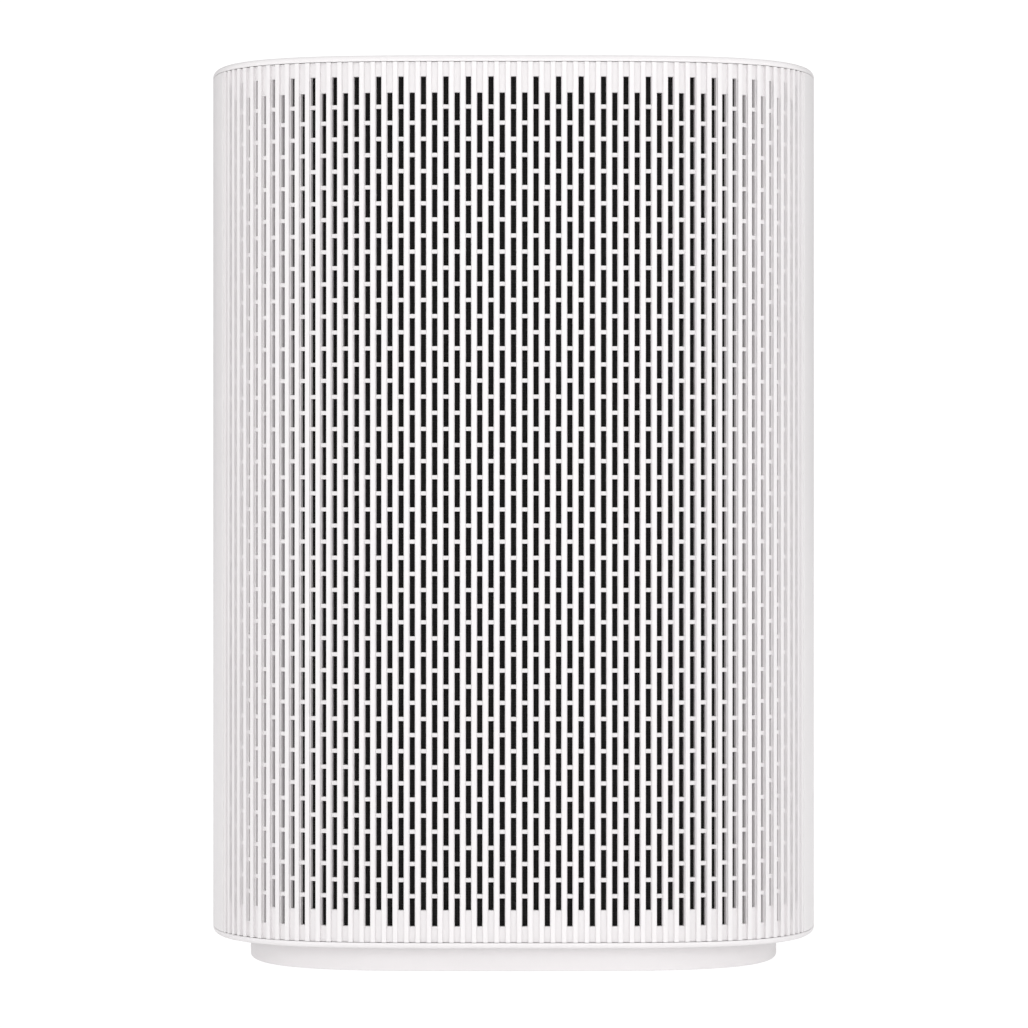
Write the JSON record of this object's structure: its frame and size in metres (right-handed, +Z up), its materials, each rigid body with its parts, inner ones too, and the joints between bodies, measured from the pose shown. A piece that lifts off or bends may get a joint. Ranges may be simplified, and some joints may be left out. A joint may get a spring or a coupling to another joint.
{
  "type": "air purifier",
  "caption": "Tower air purifier with a rounded-square body, ribbed and slotted pull-off covers, two filter cartridges, a centrifugal fan and a top air outlet.",
  "frame": {"origin": "centre of the footprint, on the floor under the rubber feet", "axes": "+Z up, -Y towards the front cover, +X to the right seen from the front"},
  "size_m": [0.4, 0.4, 0.582],
  "materials": {
    "white_shell": "fine matte moulded plastic, very slightly warm white",
    "inner_plastic": "plain moulded plastic, light grey",
    "dark_plastic": "black moulded plastic",
    "mesh_black": "fine black woven nylon net",
    "filter_paper": "pleated white filter paper",
    "carbon": "black granular activated carbon layer",
    "foam": "soft grey foam seal",
    "tab_fabric": "woven pull tab",
    "rubber": "dark rubber",
    "steel": "zinc plated steel",
    "magnet": "nickel plated",
    "motor_metal": "cast aluminium",
    "board": "green circuit board",
    "lens": "dark gloss display cover",
    "button_white": "matte button",
    "brass": "brass contact",
    "cable": "black cable sheath"
  },
  "bodies": {
    "chassis": {"plinth": "white_shell", "rubber_feet": "rubber", "plinth_screws": "steel", "power_inlet": "dark_plastic", "inlet_pins": "brass", "main_board": "board", "bottom_tray": "white_shell", "frame_posts": "inner_plastic", "striker_plates": "steel", "inner_wall_left": "inner_plastic", "inner_wall_right": "inner_plastic", "filter_seat_front": "inner_plastic", "filter_seat_rear": "inner_plastic", "side_panel_left": "white_shell", "side_panel_right": "white_shell", "grip_cup_left": "white_shell", "grip_cup_right": "white_shell", "side_panel_screws": "steel", "sensor_door_pin": "steel", "particle_sensor": "dark_plastic", "fan_deck": "inner_plastic", "intake_guard": "dark_plastic", "bell_mouth": "dark_plastic", "fan_housing": "inner_plastic", "motor_can": "motor_metal", "motor_bearings": "steel", "motor_mount": "dark_plastic", "fan_screws": "steel", "top_cap": "white_shell", "outlet_grille": "white_shell", "control_housing": "white_shell", "display_lens": "lens", "control_board": "board", "wire_harness": "cable"},
    "front_cover": {"front_grille": "white_shell", "front_cover_magnets": "magnet", "front_prefilter_mesh": "mesh_black", "front_prefilter_frame": "dark_plastic"},
    "rear_cover": {"rear_grille": "white_shell", "rear_cover_magnets": "magnet", "rear_prefilter_mesh": "mesh_black", "rear_prefilter_frame": "dark_plastic"},
    "front_filter": {"front_filter_frame": "inner_plastic", "front_filter_media": "filter_paper", "front_filter_carbon": "carbon", "front_filter_gasket": "foam", "front_filter_tab": "tab_fabric"},
    "rear_filter": {"rear_filter_frame": "inner_plastic", "rear_filter_media": "filter_paper", "rear_filter_carbon": "carbon", "rear_filter_gasket": "foam", "rear_filter_tab": "tab_fabric"},
    "fan": {"impeller": "dark_plastic", "motor_shaft": "steel", "hub_nut": "steel"},
    "power_button": {"power_button": "button_white"},
    "mode_button": {"mode_button": "button_white"},
    "sensor_door": {"sensor_door": "white_shell"}
  },
  "joints": [
    {"name": "front_cover_pull", "type": "slide", "parent": "chassis", "child": "front_cover", "axis": [0, -1, 0], "range_m": [0, 0.2]},
    {"name": "front_filter_pull", "type": "slide", "parent": "chassis", "child": "front_filter", "axis": [0, -1, 0], "range_m": [0, 0.1]},
    {"name": "rear_cover_pull", "type": "slide", "parent": "chassis", "child": "rear_cover", "axis": [0, 1, 0], "range_m": [0, 0.2]},
    {"name": "rear_filter_pull", "type": "slide", "parent": "chassis", "child": "rear_filter", "axis": [0, 1, 0], "range_m": [0, 0.1]},
    {"name": "fan_spin", "type": "hinge", "parent": "chassis", "child": "fan", "pos_m": [0, 0, 0.513], "axis": [0, 0, 1], "continuous": true},
    {"name": "power_button_press", "type": "slide", "parent": "chassis", "child": "power_button", "axis": [0, 0, -1], "range_m": [0, 0.001], "stiffness_N_per_m": 600, "springref_m": -0.0008},
    {"name": "mode_button_press", "type": "slide", "parent": "chassis", "child": "mode_button", "axis": [0, 0, -1], "range_m": [0, 0.001], "stiffness_N_per_m": 600, "springref_m": -0.0008},
    {"name": "sensor_door_hinge", "type": "hinge", "parent": "chassis", "child": "sensor_door", "pos_m": [0.1985, 0, 0.1195], "axis": [0, 1, 0], "range_deg": [0, 80]}
  ],
  "couplings": [
    {"joint": "front_filter_pull", "follows": "front_cover_pull", "ratio": 0.5},
    {"joint": "rear_filter_pull", "follows": "rear_cover_pull", "ratio": 0.5}
  ]
}
